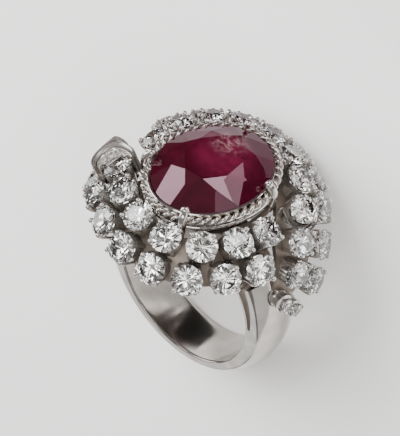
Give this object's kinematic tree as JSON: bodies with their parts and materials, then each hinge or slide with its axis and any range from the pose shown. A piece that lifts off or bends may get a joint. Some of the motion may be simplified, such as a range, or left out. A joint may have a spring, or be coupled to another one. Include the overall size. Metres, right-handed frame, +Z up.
{
  "type": "ruby ring",
  "caption": "White gold cocktail ring: an oval faceted ruby in a rope-edged basket of four claws, between two crescent arms of round diamonds that curl down to the shoulders.",
  "frame": {"origin": "middle of the ring's box on the table that it lies on", "axes": "+Z up from the table, the ruby towards -Y and up, +X to the right seen from the ruby's side; the finger's axis lies in the Y-Z plane but for 2 degrees, 27 degrees away from straight up"},
  "size_m": [0.025, 0.0275, 0.0226],
  "materials": {
    "white_gold": "polished",
    "ruby": "faceted",
    "diamond": "faceted"
  },
  "bodies": {
    "root": {"setting": "white_gold", "ruby": "ruby", "diamond_01": "diamond", "diamond_02": "diamond", "diamond_03": "diamond", "diamond_04": "diamond", "diamond_05": "diamond", "diamond_06": "diamond", "diamond_07": "diamond", "diamond_08": "diamond", "diamond_09": "diamond", "diamond_10": "diamond", "diamond_11": "diamond", "diamond_12": "diamond", "diamond_13": "diamond", "diamond_14": "diamond", "diamond_15": "diamond", "diamond_16": "diamond", "diamond_17": "diamond", "diamond_18": "diamond", "diamond_19": "diamond", "diamond_20": "diamond", "diamond_21": "diamond", "diamond_22": "diamond", "diamond_23": "diamond", "diamond_24": "diamond", "diamond_25": "diamond", "diamond_26": "diamond", "diamond_27": "diamond", "diamond_28": "diamond", "diamond_29": "diamond", "diamond_30": "diamond", "diamond_31": "diamond", "diamond_32": "diamond", "diamond_33": "diamond", "diamond_34": "diamond", "diamond_35": "diamond", "diamond_36": "diamond", "diamond_37": "diamond", "diamond_38": "diamond", "diamond_39": "diamond", "diamond_40": "diamond", "diamond_41": "diamond"}
  },
  "joints": []
}
